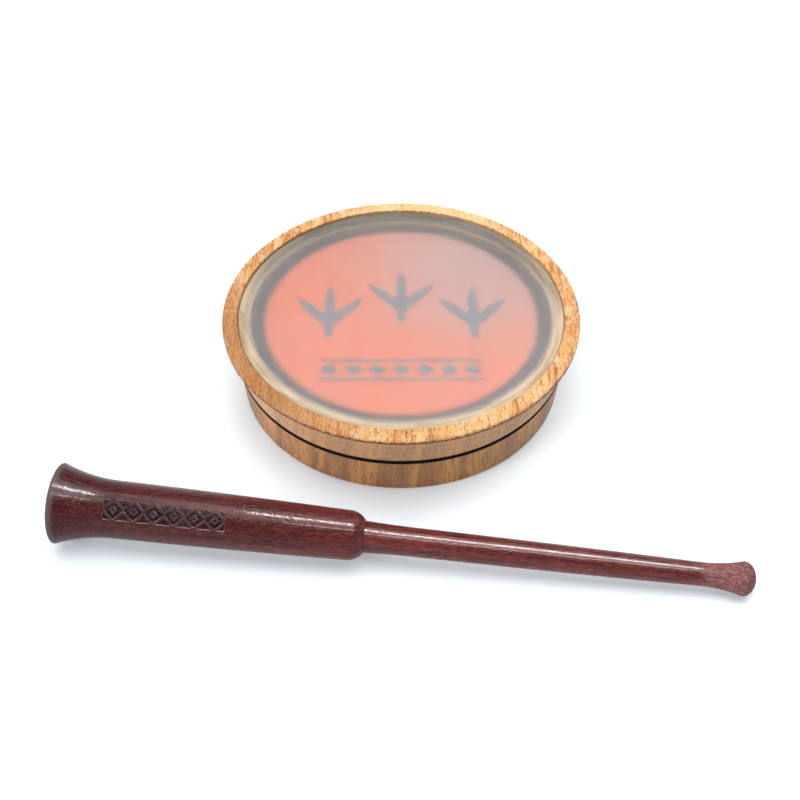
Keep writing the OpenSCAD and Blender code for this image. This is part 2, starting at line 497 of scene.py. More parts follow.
def in_millimetres(tree, matrix=None):
    """The object's coordinates in millimetres, in the frame of matrix where one is given."""
    fill = {"Vector": add("ShaderNodeTexCoord", {}, "Object", tree), "Scale": (MM, MM, MM)}
    if matrix is not None:
        fill["Location"] = matrix.to_translation()
        fill["Rotation"] = matrix.to_euler("XYZ")
    return add("ShaderNodeMapping", fill, vector_type="TEXTURE")


def facing(tree, axis):
    """How far the surface faces along X, Y or Z."""
    return part(add("ShaderNodeNewGeometry", {}, "Normal", tree), axis)


def ray_is(tree, kind):
    """1 for rays of this kind, and 0 for others."""
    return add("ShaderNodeLightPath", {}, f"Is {kind} Ray", tree)


# Wood of the pot

PLANED_EARLY = srgb(252, 194, 126)
PLANED_LATE = srgb(234, 168, 102)
PLANED_STREAK = srgb(176, 104, 48)
PLANED_MOTTLE = srgb(255, 214, 168)
PLANED_DASH = srgb(146, 82, 40)
PLANED_SHEEN = srgb(255, 220, 164)
PLANED_SHADE = srgb(168, 108, 62)
PLANED_CHIP_SHADE = srgb(118, 74, 40)
SIDE_EARLY = srgb(188, 132, 82)
SIDE_LATE = srgb(156, 112, 74)
END_EARLY = srgb(226, 160, 90)
END_LATE = srgb(182, 130, 84)
SAWN_STREAK = srgb(140, 94, 58)
SAWN_REFLECTION = srgb(240, 190, 146)
TORN_SHADE_LIGHT = srgb(176, 102, 50)
TORN_SHADE_DARK = srgb(70, 36, 18)
PORE = srgb(104, 58, 28)
SCORCHED = srgb(70, 42, 26)
BURNT = srgb(14, 10, 8)


def planed_face(place, swayed, layers):
    """The rim's face, planed along the fibres: golden, with brown streaks and short dark dashes, a painted
    sheen at the back and painted shade at the left front.
    """
    streaks = noise(swayed, (1.0, 0.05, 0.14), 3.0, 0.65)
    dashes = noise(swayed, (2.8, 0.45, 1.6), 2.0, 0.6)
    mottle = noise(place, (0.50, 0.24, 0.42), 4.0, 0.7)
    wood = blend(layers, PLANED_EARLY, PLANED_LATE)
    wood = stained(wood, PLANED_STREAK, streaks, 0.50, 0.61, share=0.68)
    wood = stained(wood, PLANED_MOTTLE, mottle, 0.49, 0.61, share=0.62)
    wood = stained(wood, PLANED_DASH, dashes, 0.56, 0.65, share=0.70)
    # Painted sheen pales the rim at the back, and painted shade darkens it at the left front
    wood = stained(wood, PLANED_SHEEN, distance_from(place, RIM_SHEEN_SIDE), 36.0, 6.0, share=0.6)
    return stained(wood, PLANED_SHADE, distance_from(place, RIM_SHADE_SIDE), 56.0, 14.0, share=0.72)


def chipped_and_shaded_inner_edge(wood, place):
    """The rim's inner edge is chipped and darkened by painted shade, most of all at the left and the back.
    """
    chips = noise(place, (0.9, 0.9, 0.9), 3.0, 0.7)
    inwards = calc("MULTIPLY_ADD", chips, -1.5, distance_from(place))
    dark_edge = fade(inwards, RABBET_R - 0.40, RABBET_R - 0.75, 0.0, 0.85)
    there = fade(distance_from(place, EDGE_SHADE_SIDE), 88.0, 60.0)
    # Partly chipped wood, partly painted shade next to the glass
    return blend(dark_edge * there, wood, PLANED_CHIP_SHADE)


def sawn_face(swayed, layers, across, height_up):
    """The wall, cut across the fibres at the front and back and along them at the sides."""
    streaks = noise(swayed, (1.3, 0.12, 0.14), 3.0, 0.65)
    side = blend(layers, SIDE_EARLY, SIDE_LATE)
    end = blend(layers, END_EARLY, END_LATE)
    wood = blend(across, side, end)
    wood = stained(wood, SAWN_STREAK, streaks, 0.45, 0.70, share=0.65)
    # Above the groove the wall is paler and greyer: a painted reflection of the floor
    return stained(wood, SAWN_REFLECTION, height_up, GROOVE_Z - 0.3, GROOVE_Z + 0.3, share=0.52)


def above_the_tear(place, height_up):
    """Height over a ragged line round the lip, where planed wood ends."""
    ragged = noise(place, (0.9, 0.9, 0.5), 3.0, 0.75)
    return height_up - calc("MULTIPLY_ADD", ragged, 2.4, LIP_BOTTOM - 0.65)


def torn_and_shaded_line(wood, above_tear, radius, grit):
    """Planed wood ends in a brown line along the lip's lower edge, partly torn grain and partly painted
    shade under the lip.
    """
    # The brown line is partly torn grain and partly painted shade under the lip
    torn = fade(abs(above_tear + 0.35), 0.62, 0.34, 0.0, 0.9)
    on_lip = fade(radius, WALL_R - 0.5, WALL_R)
    return blend(torn * on_lip, wood, stained(TORN_SHADE_LIGHT, TORN_SHADE_DARK, grit, 0.42, 0.56))


def burn(wood, height_up, radius):
    """The groove is burnt black, with a thin scorched edge."""
    from_groove = abs(height_up - GROOVE_Z)
    outside = fade(radius, CHAMBER_R + 1.4, CHAMBER_R + 1.9)
    scorched = fade(from_groove, GROOVE_W / 2 + 0.45, GROOVE_W / 2, 0.0, 0.55)
    burnt = fade(from_groove, GROOVE_W / 2 + 0.06, GROOVE_W / 2 - 0.02)
    return blend(burnt * outside, blend(scorched * outside, wood, SCORCHED), BURNT)


def whole_pot_wood(tree, place, fibres, grit):
    """Colour of the pot's wood, and how open its pores are."""
    sway = noise(place, (0.02, 0.012, 0.03), 1.0) * 9.0
    swayed = vector_calc("ADD", place, joined(x=sway))
    layers = fade(noise(swayed, (0.26, 0.004, 0.010), 2.0, 0.5), 0.40, 0.60)
    across = fade(abs(facing(tree, "Y")), 0.15, 0.95)
    height_up = part(place, "Z")
    radius = distance_from(place)
    above_tear = above_the_tear(place, height_up)
    edge = fade(above_tear, -0.08, 0.08) * fade(radius, LIP_R - 0.5, LIP_R - 0.25)
    planed_share = calc("MAXIMUM", fade(facing(tree, "Z"), 0.35, 0.75), edge)
    planed = chipped_and_shaded_inner_edge(planed_face(place, swayed, layers), place)
    wood = blend(planed_share, sawn_face(swayed, layers, across, height_up), planed)
    wood = torn_and_shaded_line(wood, above_tear, radius, grit)
    pores = fade(noise(swayed, (2.6, 0.55, 2.2), 2.0, 0.6), 0.54, 0.68)
    pores = pores * calc("MULTIPLY_ADD", layers, 0.5, 0.5) * fade(planed_share, 0.0, 1.0, 0.6, 0.35)
    wood = blend(pores, wood, PORE)
    wood = blend(0.8, wood, fade(fibres, 0.25, 0.75, 0.66, 1.22), "MULTIPLY")
    wood = blend(0.8, wood, fade(grit, 0.25, 0.75, 0.70, 1.26), "MULTIPLY")
    return burn(wood, height_up, radius), pores


def pot_wood(tree):
    """Ring-porous wood: its fibres run along Y and its growth layers stand square to X."""
    place = in_millimetres(tree)
    grit = noise(place, (3.0, 2.4, 2.6), 3.0, 0.75)
    fibres = noise(place, (4.2, 0.9, 3.2), 2.0, 0.7)
    colour, pores = whole_pot_wood(tree, place, fibres, grit)
    return add("ShaderNodeBsdfPrincipled", {
        "Base Color": colour,
        "Roughness": fade(fibres, 0.3, 0.7, 0.42, 0.55),
        "Specular IOR Level": 0.35,
        "Normal": bump(fibres + grit - pores, 0.08, 0.8),
    })


# Glass, adhesive and label

GLASS_IOR = 1.5
FROSTED_CLEAR = (0.985, 0.99, 0.985, 1.0)
FROSTED_SHADE = (0.95, 0.96, 0.955, 1.0)
BOARD_CLEAR = (0.86, 0.95, 0.91, 1.0)
BOARD_SHADE = (0.86, 0.92, 0.89, 1.0)
CREAM_INNER = srgb(226, 204, 172)
CREAM_OUTER = srgb(254, 234, 206)
CREAM_STREAK = srgb(194, 170, 138)
CREAM_SHADED = srgb(112, 114, 114)
GLUE_DARK = srgb(184, 158, 122)
GLUE_LIGHT = srgb(210, 186, 152)
GLUE_SHADED = srgb(72, 74, 76)
FIELD_RED = srgb(232, 106, 56)
FIELD_DEEP = srgb(224, 98, 50)
FIELD_SHEEN = srgb(188, 136, 128)
FIELD_SCREEN = srgb(248, 150, 104)
LABEL_BORDER = srgb(14, 26, 36)
INK_DARK = srgb(72, 84, 92)
INK_THIN = srgb(100, 108, 112)


def back_painted_shade(place):
    """Share of painted shade on the glue and the glued margin, growing towards the back."""
    return fade(part(place, "Y"), -10.0, 38.0, 0.0, 0.75)


def lit_through(glass, shade):
    """The glass to the eye, and no more than a shade to the light that falls through it."""
    open_air = add("ShaderNodeBsdfTransparent", {0: shade}, tree=glass.tree)
    through = calc("MAXIMUM", ray_is(glass.tree, "Shadow"), ray_is(glass.tree, "Diffuse"))
    return add("ShaderNodeMixShader", {0: through, 1: glass, 2: open_air})


def glued_margin(place):
    """Over the ledge, glue makes the glass creamy: its share, its haze and its colour.

    It lies in streaks that run round the glass, with painted shade darkening it towards the back.
    """
    streaks = ring_noise(place, 3.0, 0.9)
    swirl = noise(place, (0.25, 0.25, 0.25), 3.0, 0.6, 1.0)
    from_middle = calc("MULTIPLY_ADD", swirl, 0.8, distance_from(place))
    margin = fade(from_middle, CHAMBER_R - 0.7, CHAMBER_R + 0.8)
    haze = margin * fade(streaks, 0.3, 0.7, 0.48, 0.30)
    cream = stained(CREAM_INNER, CREAM_OUTER, from_middle, CHAMBER_R, GLASS_R - 0.6)
    cream = stained(cream, CREAM_STREAK, streaks, 0.42, 0.62, share=0.6)
    # Painted shade darkens the cream towards the back
    return margin, haze, blend(back_painted_shade(place), cream, CREAM_SHADED)


def frosted_glass(tree):
    """Float glass, sanded dull on its upper face. Lamps shine through it to the label."""
    place = in_millimetres(tree)
    upward = fade(facing(tree, "Z"), 0.3, 0.7)
    grit = noise(place, (6.0, 6.0, 6.0), 2.0, 0.7)
    scratches = noise(place, (0.12, 9.0, 1.0), 2.0, 0.6)
    clouds = noise(place, (0.05, 0.05, 0.05), 2.0, 0.5)
    margin, glue_haze, cream = glued_margin(place)
    haze = fade(clouds, 0.3, 0.7, 0.0, 0.015) + fade(scratches, 0.5, 0.8, 0.0, 0.02) + glue_haze
    glass = add("ShaderNodeBsdfPrincipled", {
        "Base Color": blend(margin, FROSTED_CLEAR, cream),
        "Roughness": calc("MULTIPLY_ADD", upward, 0.44, 0.04),
        "IOR": GLASS_IOR,
        "Transmission Weight": 1.0 - haze * upward,
        "Normal": bump((grit + scratches) * upward, 0.01, 0.5),
    })
    return lit_through(glass, FROSTED_SHADE)


def clear_glass(tree):
    """The sound board's plain glass, a little green, with faint smears."""
    smears = noise(in_millimetres(tree), (0.1, 0.25, 0.1), 3.0, 0.6)
    glass = add("ShaderNodeBsdfPrincipled", {
        "Base Color": BOARD_CLEAR,
        "Roughness": fade(smears, 0.4, 0.8, 0.03, 0.16),
        "IOR": GLASS_IOR,
        "Transmission Weight": 1.0,
    })
    return lit_through(glass, BOARD_SHADE)


def adhesive(tree):
    """Cream adhesive with faint swirls."""
    place = in_millimetres(tree)
    swirl = noise(place, (0.3, 0.3, 0.3), 4.0, 0.6, 1.5)
    cream = blend(swirl, GLUE_DARK, GLUE_LIGHT)
    return add("ShaderNodeBsdfPrincipled", {
        # Painted shade darkens the glue towards the back
        "Base Color": blend(back_painted_shade(place), cream, GLUE_SHADED),
        "Roughness": fade(swirl, 0.3, 0.7, 0.30, 0.45),
        "Normal": bump(swirl, 0.05),
    })


def label_print(tree):
    """The label's warm field and its dark border, printed with a fine screen."""
    place = in_millimetres(tree)
    screen = noise(place, (5.0, 5.0, 5.0), 1.0, 0.5)
    tone = noise(place, (0.04, 0.04, 0.04), 2.0, 0.5)
    field = blend(tone, FIELD_RED, FIELD_DEEP)
    # Painted sheen pales the field towards the back right
    field = stained(field, FIELD_SHEEN, distance_from(place, FIELD_SHEEN_SIDE), 52.0, 6.0)
    field = stained(field, FIELD_SCREEN, screen, 0.35, 0.75, share=0.14)
    radius = distance_from(place)
    return add("ShaderNodeBsdfPrincipled", {
        "Base Color": stained(field, LABEL_BORDER, radius, FIELD_R - 1.3, FIELD_R + 0.9),
        "Roughness": fade(screen, 0.2, 0.8, 0.5, 0.6),
        "Specular IOR Level": 0.05,
        "Normal": bump(screen, 0.01, 0.4),
    })


def label_ink(tree):
    """The dark ink of the label's tracks and bar, a little thin in places."""
    speck = noise(in_millimetres(tree), (1.6, 1.6, 1.6), 4.0, 0.7)
    return add("ShaderNodeBsdfPrincipled", {
        "Base Color": stained(INK_DARK, INK_THIN, speck, 0.45, 0.75),
        "Roughness": fade(speck, 0.3, 0.7, 0.35, 0.5),
        "Normal": bump(speck, 0.01, 0.4),
    })


# Wood of the striker

BAND_DARK = srgb(88, 36, 34)
BAND_LIGHT = srgb(116, 49, 46)
GRAIN_DARK = srgb(52, 20, 20)
HAIR_DARK = srgb(34, 14, 17)
HAIR_PALE = srgb(156, 84, 76)
RAW_LIGHT = srgb(156, 108, 102)
RAW_SPOT = srgb(100, 62, 66)
RAW_HAIR = srgb(112, 70, 72)
END_GRAIN = srgb(132, 116, 112)
CHAR = srgb(14, 12, 13)
ASH = srgb(84, 78, 80)
EDGE_HIGHLIGHT = srgb(196, 158, 152)
BUTT_TONE = (0.60, 0.60, 0.62, 1.0)
PEG_TONE = (1.14, 1.12, 1.10, 1.0)
TONE_L = 95.0
COAT_IOR = 1.48
COAT_ROUGHNESS = 0.035


def red_wood(place, hairs):
    """Red-brown wood with long dark grain and fine hairs, dark and pale."""
    bands = noise(place, (0.50, 0.50, 0.012), 3.0, 0.6)
    grain = noise(place, (2.2, 2.2, 0.10), 3.0, 0.65)
    wood = stained(BAND_DARK, BAND_LIGHT, bands, 0.35, 0.65)
    wood = stained(wood, GRAIN_DARK, grain, 0.44, 0.66, share=0.7)
    wood = stained(wood, HAIR_DARK, hairs, 0.48, 0.68, share=0.7)
    return stained(wood, HAIR_PALE, hairs, 0.46, 0.28, share=0.5)


def bare_tip(wood, place, hairs):
    """The tip is sanded bare, so it is paler and dull, with darker spots. Returns its share too."""
    edge = noise(place, (0.8, 0.8, 0.3), 2.0, 0.6)
    bare_from = calc("MULTIPLY_ADD", edge, 2.0, HANDLE_L + SHAFT_L - 1.6)
    bare = fade(part(place, "Z") - bare_from, -1.1, 1.3)
    spots = noise(place, (1.7, 1.7, 0.9), 3.0, 0.7)
    raw = stained(RAW_LIGHT, RAW_SPOT, spots, 0.30, 0.68)
    raw = stained(raw, RAW_HAIR, hairs, 0.45, 0.7, share=0.5)
    return blend(bare, wood, raw), bare


def charred(wood, burnt, hairs, pits_field):
    """The engraving is charred, with a painted highlight in a pale line along its edges."""
    wood = blend(burnt, wood, stained(CHAR, ASH, hairs, 0.45, 0.70))
    broken = fade(pits_field, 0.35, 0.65, 0.6, 3.0)
    # Painted highlight along the engraving's edges
    edge_highlight = calc("MULTIPLY", burnt * (1.0 - burnt), broken, clamp=True)
    return blend(edge_highlight, wood, EDGE_HIGHLIGHT)


def lacquer_surface(place, pits_field):
    """Lacquer lies in waves on the flare and smooth on the peg, with small pits."""
    along = part(place, "Z")
    ripples = noise(place, (0.8, 0.8, 0.30), 2.0, 0.6)
    flared = fade(along, FLARE_L + 4.0, 4.0, 0.6, 1.4)
    smooth = fade(along, HANDLE_L - 4.0, HANDLE_L + 4.0, 1.0, 0.3)
    return bump(ripples * (flared * smooth) - fade(pits_field, 0.52, 0.66), 0.022)


def striker_wood(tree):
    """Dark red-brown wood under lacquer, with its grain along the striker and a bare tip."""
    place = in_millimetres(tree, laid_down())
    along = part(place, "Z")
    hairs = noise(place, (5.0, 5.0, 0.55), 2.0, 0.65)
    pits_field = noise(place, (2.8, 2.8, 1.5), 2.0, 0.7)
    wood, bare = bare_tip(red_wood(place, hairs), place, hairs)
    # The butt's dome and its worn edge are grey end grain
    butt = fade(along, 1.5, 0.3)
    wood = blend(butt * 0.75, wood, END_GRAIN)
    burnt = add("ShaderNodeAttribute", {}, "Fac", tree, attribute_name="burnt")
    wood = charred(wood, burnt, hairs, pits_field)
    # The wood reddens and lightens from the butt to the peg
    wood = blend(1.0, wood, stained(BUTT_TONE, PEG_TONE, along, 0.0, TONE_L), "MULTIPLY")
    dull = calc("MAXIMUM", calc("MAXIMUM", bare, butt * 0.6), burnt * 0.6)
    # The lacquer is thicker on the peg
    lacquer = fade(along, HANDLE_L - 4.0, HANDLE_L + 4.0, 0.30, 0.46)
    surface = lacquer_surface(place, pits_field)
    return add("ShaderNodeBsdfPrincipled", {
        "Base Color": wood,
        "Roughness": calc("MULTIPLY_ADD", dull, 0.38, 0.30),
        "Specular IOR Level": 0.04,
        "Normal": surface,
        "Coat Weight": (1.0 - dull) * lacquer,
        "Coat Roughness": COAT_ROUGHNESS,
        "Coat IOR": COAT_IOR,
        "Coat Normal": surface,
    })


# Geometry trees

def new_geometry_tree(name, inputs):
    """A geometry tree from an outline to a mesh of one material, with these numbers as inputs.

    Returns the tree, and what gives its inputs by name.
    """
    tree = bpy.data.node_groups.new(name, "GeometryNodeTree")

    def new_input(label, kind):
        return tree.interface.new_socket(label, in_out="INPUT", socket_type="NodeSocket" + kind)

    new_input("Outline", "Geometry")
    for label, value in inputs.items():
        new_input(label, "Int" if isinstance(value, int) else "Float").default_value = value
    new_input("Material", "Material")
    tree.interface.new_socket("Mesh", in_out="OUTPUT", socket_type="NodeSocketGeometry")
    source = tree.nodes.new("NodeGroupInput")
    return tree, lambda label: Field(tree, source.outputs[label])


def point_places(tree):
    """The place of each point of the mesh."""
    return add("GeometryNodeInputPosition", {}, "Position", tree)


def merged(mesh):
    """The mesh with its doubled points made one."""
    return add("GeometryNodeMergeByDistance", {"Geometry": mesh, "Distance": MERGE_WITHIN})


def realized(instances):
    """Instances made a real mesh."""
    return add("GeometryNodeRealizeInstances", {"Geometry": instances})


def pushed(mesh, place, distance):
    """The mesh with its points moved away from the Z axis by a distance."""
    fill = {0: outward(place), "Scale": distance}
    offset = add("ShaderNodeVectorMath", fill, operation="SCALE")
    return add("GeometryNodeSetPosition", {"Geometry": mesh, "Offset": offset})


def turned(outline, columns, crowding=0.0, towards=0.0):
    """Turns an outline about Z: a grid whose rows take their radius and height from the outline's points.

    Crowding, from 0 to 1, draws the columns together at the angle towards, for fine work there.
    """
    rows = add("GeometryNodeAttributeDomainSize", {0: outline}, "Point Count", component="MESH")
    grid = add("GeometryNodeMeshGrid", {
        "Size X": 1.0, "Size Y": 1.0, "Vertices X": columns + 1.0, "Vertices Y": rows})
    index = add("GeometryNodeInputIndex", {}, "Index", outline.tree)
    column = calc("FLOOR", (index + 0.5) / rows)
    point = add("GeometryNodeSampleIndex", {
        "Geometry": outline, "Value": point_places(outline.tree),
        "Index": calc("MODULO", index, rows)}, data_type="FLOAT_VECTOR")
    radius = part(point, "X")
    even = column / columns * math.tau
    angle = even - calc("SINE", even) * crowding + towards
    place = joined(radius * calc("COSINE", angle), radius * calc("SINE", angle), part(point, "Z"))
    return merged(add("GeometryNodeSetPosition", {"Geometry": grid, "Position": place}))


def finished(mesh, given):
    """Smooth faces with sharp corners kept, instances made real, and the material set."""
    smooth = add("GeometryNodeSetShadeSmooth", {"Geometry": mesh}, domain="FACE")
    angle = add("GeometryNodeInputMeshEdgeAngle", {}, "Unsigned Angle", mesh.tree)
    corner = calc("GREATER_THAN", angle, SHARP_CORNER)
    fill = {"Geometry": smooth, "Selection": corner, "Shade Smooth": False}
    real = realized(add("GeometryNodeSetShadeSmooth", fill, domain="EDGE"))
    done = add("GeometryNodeSetMaterial", {"Geometry": real, "Material": given("Material")})
    lead_to(mesh.tree.nodes.new("NodeGroupOutput"), done)


def lathe_tree():
    """Turns any outline."""
    tree, given = new_geometry_tree("turned_piece", {"Columns": DISC_COLUMNS})
    finished(turned(given("Outline"), given("Columns")), given)
    return tree


def torn_lip(pot, given):
    """Bites shallow nibbles out of the lip, close to its lower edge."""
    place = point_places(pot.tree)
    off = abs(part(place, "Z") - (given("Lip Height") + 0.2 * MM))
    near_lip = fade(off, 0.9 * MM, 0.3 * MM)
    far_out = fade(distance_from(place), (LIP_R - 1.8) * MM, (LIP_R - 0.4) * MM)
    nibble = noise(place, (0.9 / MM, 0.32 / MM, 0.9 / MM), 2.0, 0.7)
    bite = fade(nibble, 0.48, 0.72) * (near_lip * far_out)
    return pushed(pot, place, bite * given("Tear") * -1.0)


def port_drills(given):
    """A drill for each sound port, half a step round from X, through the pot's floor."""
    ring = add("GeometryNodeMeshCircle", {"Vertices": given("Ports"), "Radius": given("Port Circle")})
    spin = joined(z=calc("DIVIDE", math.pi, given("Ports")))
    drill = add("GeometryNodeMeshCylinder", {
        "Vertices": DRILL_SIDES, "Radius": given("Port Radius"), "Depth": given("Floor") * 4.0})
    return realized(add("GeometryNodeInstanceOnPoints", {
        "Points": add("GeometryNodeTransform", {"Geometry": ring, "Rotation": spin}),
        "Instance": drill}))


def pot_tree():
    """Turns the pot, tears its lip's lower edge a little, and bores the sound ports."""
    tree, given = new_geometry_tree("turned_pot", {
        "Columns": POT_COLUMNS, "Lip Height": LIP_BOTTOM * MM, "Tear": LIP_TEAR * MM,
        "Ports": PORT_N, "Port Circle": PORT_CIRCLE_R * MM, "Port Radius": PORT_D / 2 * MM,
        "Floor": FLOOR_T * MM})
    torn = torn_lip(turned(given("Outline"), given("Columns")), given)
    fill = {"Mesh 1": torn, "Mesh 2": port_drills(given)}
    finished(add("GeometryNodeMeshBoolean", fill, operation="DIFFERENCE", solver="EXACT"), given)
    return tree


def lozenges(across, up):
    """Each cell's ring, heart and corner darts. Both measures are 0 in its middle and 1 on its sides."""
    out = across + up
    ring = fade(abs(out - RING_AT), RING_HALF_W, RING_HALF_W - CUT_EDGE)
    heart = fade(out, HEART_HALF_W, HEART_HALF_W - CUT_EDGE)
    darts = fade(out, DARTS_FROM, DARTS_FROM + CUT_EDGE)
    return calc("MAXIMUM", calc("MAXIMUM", ring, heart), darts)


def border_figure(place, given):
    """1 where the border is cut into the grip and 0 elsewhere, with short slopes between."""
    cells = (part(place, "Z") - given("Border Start")) / given("Border Pitch")
    angle = calc("ARCTAN2", part(place, "Y"), part(place, "X")) - given("Border Angle")
    side = calc("WRAP", angle, math.pi, -math.pi) * given("Grip Radius")
    up = abs(side / given("Border Half Height"))
    across = abs(calc("FRACT", cells) - 0.5) * 2.0
    inside = fade(cells, -0.01, 0.01) * fade(cells - given("Border Count"), 0.01, -0.01)
    inside = inside * fade(up, 1.04, 0.98)
    skin = calc("GREATER_THAN", distance_from(place), UNCUT_R * MM)
    return lozenges(across, up) * inside * skin


def handle_tree():
    """Turns the handle, and sinks a border of lozenges into its grip. The sunk part is marked as burnt."""
    tree, given = new_geometry_tree("turned_handle", {
        "Columns": HANDLE_COLUMNS, "Border Start": BORDER_START * MM,
        "Border Pitch": BORDER_PITCH * MM, "Border Count": BORDER_COUNT,
        "Border Half Height": BORDER_HALF_H * MM, "Border Depth": BORDER_DEPTH * MM,
        "Border Angle": BORDER_ANGLE, "Grip Radius": GRIP_D / 2 * MM})
    mesh = turned(given("Outline"), given("Columns"), BORDER_CROWDING, given("Border Angle"))
    place = point_places(tree)
    burnt = border_figure(place, given)
    marked = add("GeometryNodeStoreNamedAttribute", {
        "Geometry": mesh, "Name": "burnt", "Value": burnt}, data_type="FLOAT", domain="POINT")
    finished(pushed(marked, place, burnt * given("Border Depth") * -1.0), given)
    return tree


def together(meshes):
    """Several meshes as one."""
    tree = meshes[0].tree
    both = tree.nodes.new("GeometryNodeJoinGeometry")
    for mesh in meshes:
        tree.links.new(mesh.socket, both.inputs[0])
    return Field(tree, both.outputs[0])


def raised(mesh, given):
    """Gives flat faces of ink their thickness upwards, with their underside kept."""
    pulled = add("GeometryNodeExtrudeMesh", {
        "Mesh": mesh, "Offset": joined(z=given("Ink")), "Offset Scale": 1.0,
        "Individual": True}, mode="FACES")
    return merged(together([pulled, add("GeometryNodeFlipFaces", {"Mesh": mesh})]))


def toe(given, turn, shares=(1.0, 1.0)):
    """A toe, turned about the foot's middle, with these shares of the front toe's width and length."""
    return add("GeometryNodeTransform", {
        "Geometry": given("Outline"), "Rotation": turn, "Scale": (*shares, 1.0)})


def bird_foot(given):
    """Three toes forward and a short one back, each from the outline of one toe."""
    spread = given("Spread")
    return together([
        toe(given, (0.0, 0.0, 0.0)), toe(given, joined(z=spread), SIDE_TOE),
        toe(given, joined(z=spread * -1.0), SIDE_TOE), toe(given, (0.0, 0.0, math.pi), BACK_TOE)])


def track_spots(given):
    """A row of points along X, staggered to either side as in a bird's walk."""
    line = add("GeometryNodeMeshLine", {"Count": given("Tracks")})
    index = add("GeometryNodeInputIndex", {}, "Index", line.tree)
    along = (index - (given("Tracks") - 1.0) * 0.5) * given("Step")
    side = calc("MODULO", index, 2.0) * 2.0 - 1.0
    aside = calc("MULTIPLY_ADD", side, given("Stagger"), given("Centre Y"))
    spot = joined(along, aside, given("Height"))
    return add("GeometryNodeSetPosition", {"Geometry": line, "Position": spot})


def track_tree():
    """Prints a walk of bird's tracks, and gives their ink a thickness."""
    tree, given = new_geometry_tree("bird_tracks", {
        "Tracks": TRACK_COUNT, "Step": TRACK_STEP * MM, "Stagger": TRACK_STAGGER * MM,
        "Spread": TOE_SPREAD, "Ink": INK_T * MM, "Height": 0.0, "Centre Y": 0.0})
    tracks = add("GeometryNodeInstanceOnPoints", {
        "Points": track_spots(given), "Instance": bird_foot(given)})
    fill = {"Mesh 2": raised(realized(tracks), given), "Self Intersection": True}
    finished(add("GeometryNodeMeshBoolean", fill, operation="UNION", solver="EXACT"), given)
    return tree


def bar_tree():
    """Lays the bar on the label and gives its ink a thickness."""
    tree, given = new_geometry_tree("printed_bar", {
        "Ink": INK_T * MM, "Height": 0.0, "Centre Y": 0.0})
    spot = joined(y=given("Centre Y"), z=given("Height"))
    laid = add("GeometryNodeTransform", {"Geometry": given("Outline"), "Translation": spot})
    finished(raised(laid, given), given)
    return tree


# Meshes that the trees start from

def new_piece(name, points, edges, faces):
    """An object with this mesh, in the scene."""
    mesh = bpy.data.meshes.new(name)
    mesh.from_pydata(points, edges, faces)
    piece = bpy.data.objects.new(name, mesh)
    bpy.context.scene.collection.objects.link(piece)
    return piece


def outline_piece(name, points):
    """A mesh line through the outline's points, with the radius on X and the height on Z."""
    edges = [(i, i + 1) for i in range(len(points) - 1)]
    return new_piece(name, [(r * MM, 0.0, z * MM) for r, z in points], edges, [])


def flat_piece(name, loops):
    """Flat faces through these loops of points, in millimetres."""
    points = []
    faces = []
    for loop in loops:
        faces.append(list(range(len(points), len(points) + len(loop))))
        points += [(x * MM, y * MM, 0.0) for x, y in loop]
    return new_piece(name, points, [], faces)


def toe_loop():
    """One toe, from the foot's middle to its claw and back."""
    back = [(-x, y) for x, y in reversed(TOE_SIDE)]
    return [(0, 0)] + TOE_SIDE + [(0, TOE_L)] + back


def bar_loops():
    """Two thin lines with a row of lozenges between them."""
    loops = []
    for y in (-BAR_HALF_H, BAR_HALF_H - BAR_LINE_W):
        top = y + BAR_LINE_W
        loops.append([(-BAR_HALF_L, y), (BAR_HALF_L, y), (BAR_HALF_L, top), (-BAR_HALF_L, top)])
    for i in range(BAR_LOZENGES):
        x = (i - BAR_LOZENGES // 2) * BAR_PITCH
        left = (x - LOZENGE_HALF_L, 0)
        right = (x + LOZENGE_HALF_L, 0)
        loops.append([left, (x, -LOZENGE_HALF_H), right, (x, LOZENGE_HALF_H)])
    return loops


def grown(piece, tree, values, matrix=None):
    """Runs the tree on the piece with values for its named inputs, and keeps the result as its mesh."""
    modifier = piece.modifiers.new("making", "NODES")
    modifier.node_group = tree
    for socket in tree.interface.items_tree:
        if socket.in_out == "INPUT" and socket.name in values:
            modifier[socket.identifier] = values[socket.name]
    bpy.context.view_layer.update()
    graph = bpy.context.evaluated_depsgraph_get()
    mesh = bpy.data.meshes.new_from_object(piece.evaluated_get(graph))
    piece.modifiers.clear()
    piece.data = mesh
    mesh.name = piece.name
    if matrix is not None:
        mesh.transform(matrix)
    return piece


def settle(piece, body, slot, *nodes):
    """The piece rides on its body, and stands for these CAD nodes. Its slot is not used."""
    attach(piece, body)
    if nodes:
        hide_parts(*nodes)


# Pieces

def make_pot(material):
    """The turned pot, with its torn lip and its sound ports."""
    piece = grown(outline_piece("turned_pot", pot_outline()), pot_tree(), {"Material": material})
    settle(piece, "pot_call", "pot_wood", "pot")


def make_discs(tree, frosted, glue, clear):
    """The frosted glass, the ring of glue under it, and the sound board."""
    inner = CHAMBER_R + ADHESIVE_INSET
    bead = ring_outline(inner, GLASS_R - ADHESIVE_INSET, LEDGE_Z, ADHESIVE_T)
    board_z = LABEL_TOP - LABEL_T - BOARD_T
    board = disc_outline(CHAMBER_R - BOARD_GAP, board_z, BOARD_T, GLASS_BEVEL)
    surface = disc_outline(GLASS_R, GLASS_BOTTOM, GLASS_T, GLASS_BEVEL)
    for name, outline, material, slot, node in (
        ("frosted_disc", surface, frosted, "frosted_glass", "playing_surface"),
        ("glue_ring", bead, glue, "adhesive", "surface_adhesive"),
        ("sound_disc", board, clear, "clear_glass", "sound_board"),
    ):
        piece = outline_piece(name, outline)
        grown(piece, tree, {"Columns": DISC_COLUMNS, "Material": material})
        settle(piece, "pot_call", slot, node)


